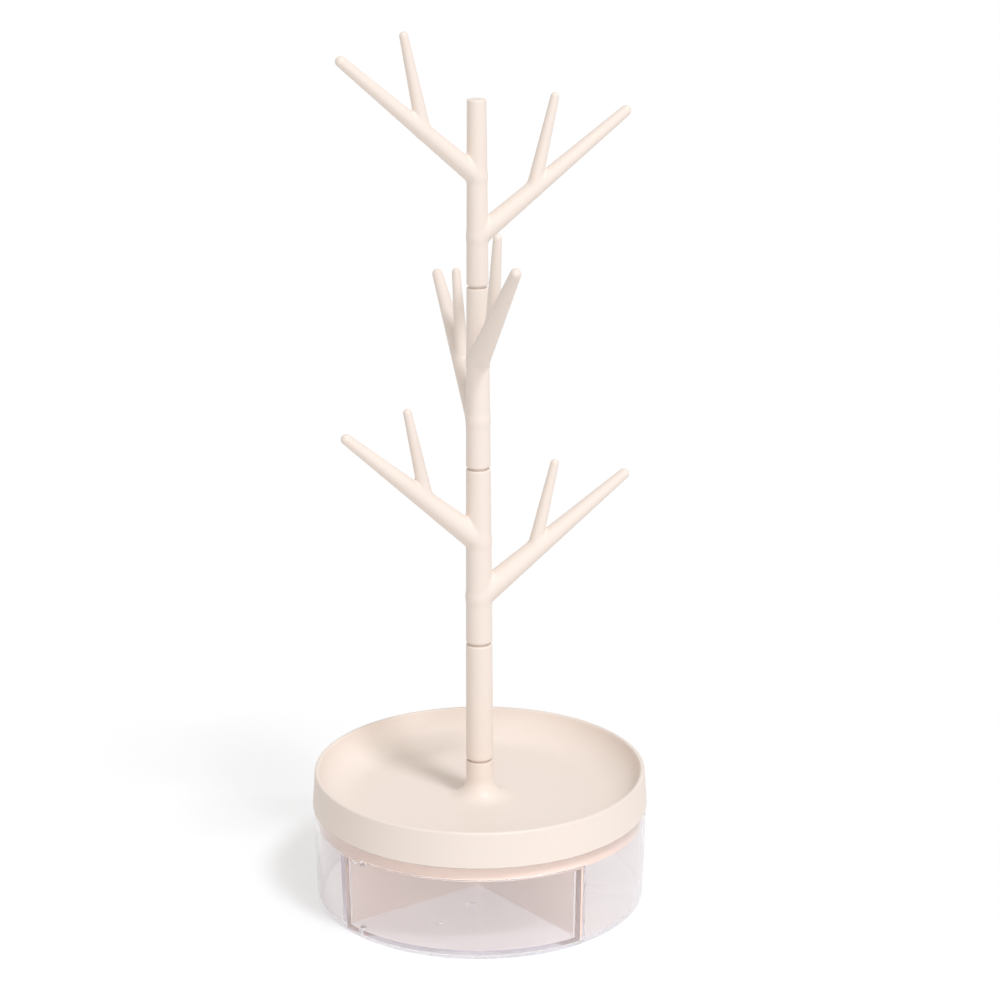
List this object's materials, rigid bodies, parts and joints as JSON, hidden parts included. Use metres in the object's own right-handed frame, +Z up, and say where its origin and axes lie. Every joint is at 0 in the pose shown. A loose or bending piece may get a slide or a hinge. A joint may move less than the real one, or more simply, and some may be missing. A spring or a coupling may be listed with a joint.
{
  "type": "jewelry stand with drawer",
  "caption": "Tree-shaped jewellery stand: forked branches on a swivelling trunk, a round rimmed tray and a clear round base with a wedge drawer that swings out.",
  "frame": {"origin": "on the table under the trunk's axis, at the centre of the base's foot", "axes": "+Z up along the trunk, -Y towards the drawer's front, +X to the right when facing the drawer"},
  "size_m": [0.165, 0.165, 0.43],
  "materials": {
    "blush_plastic": "fine matte moulded plastic in pale blush",
    "clear_plastic": "clear glossy moulded plastic with a faint violet tint at its edges",
    "steel": "plain steel pins and screws"
  },
  "bodies": {
    "base": {"tray": "blush_plastic", "bay_housing": "blush_plastic", "housing_screws": "steel", "base_shell": "clear_plastic", "drawer_lower_pivot_pin": "steel", "drawer_upper_pivot_pin": "steel"},
    "drawer": {"drawer": "clear_plastic"},
    "spacer": {"trunk_spacer": "blush_plastic"},
    "lower_section": {"lower_branch_section": "blush_plastic"},
    "middle_section": {"middle_branch_section": "blush_plastic"},
    "upper_section": {"upper_branch_section": "blush_plastic"}
  },
  "joints": [
    {"name": "drawer_swing", "type": "hinge", "parent": "base", "child": "drawer", "pos_m": [-0.04741, -0.06003, 0.02], "axis": [0, 0, -1], "range_deg": [0, 80]},
    {"name": "spacer_swivel", "type": "hinge", "parent": "base", "child": "spacer", "pos_m": [0, 0, 0.0693], "axis": [0, 0, 1], "continuous": true},
    {"name": "lower_section_swivel", "type": "hinge", "parent": "spacer", "child": "lower_section", "pos_m": [0, 0, 0.13], "axis": [0, 0, 1], "continuous": true},
    {"name": "middle_section_swivel", "type": "hinge", "parent": "lower_section", "child": "middle_section", "pos_m": [0, 0, 0.2189], "axis": [0, 0, 1], "continuous": true},
    {"name": "upper_section_swivel", "type": "hinge", "parent": "middle_section", "child": "upper_section", "pos_m": [0, 0, 0.3078], "axis": [0, 0, 1], "continuous": true}
  ]
}
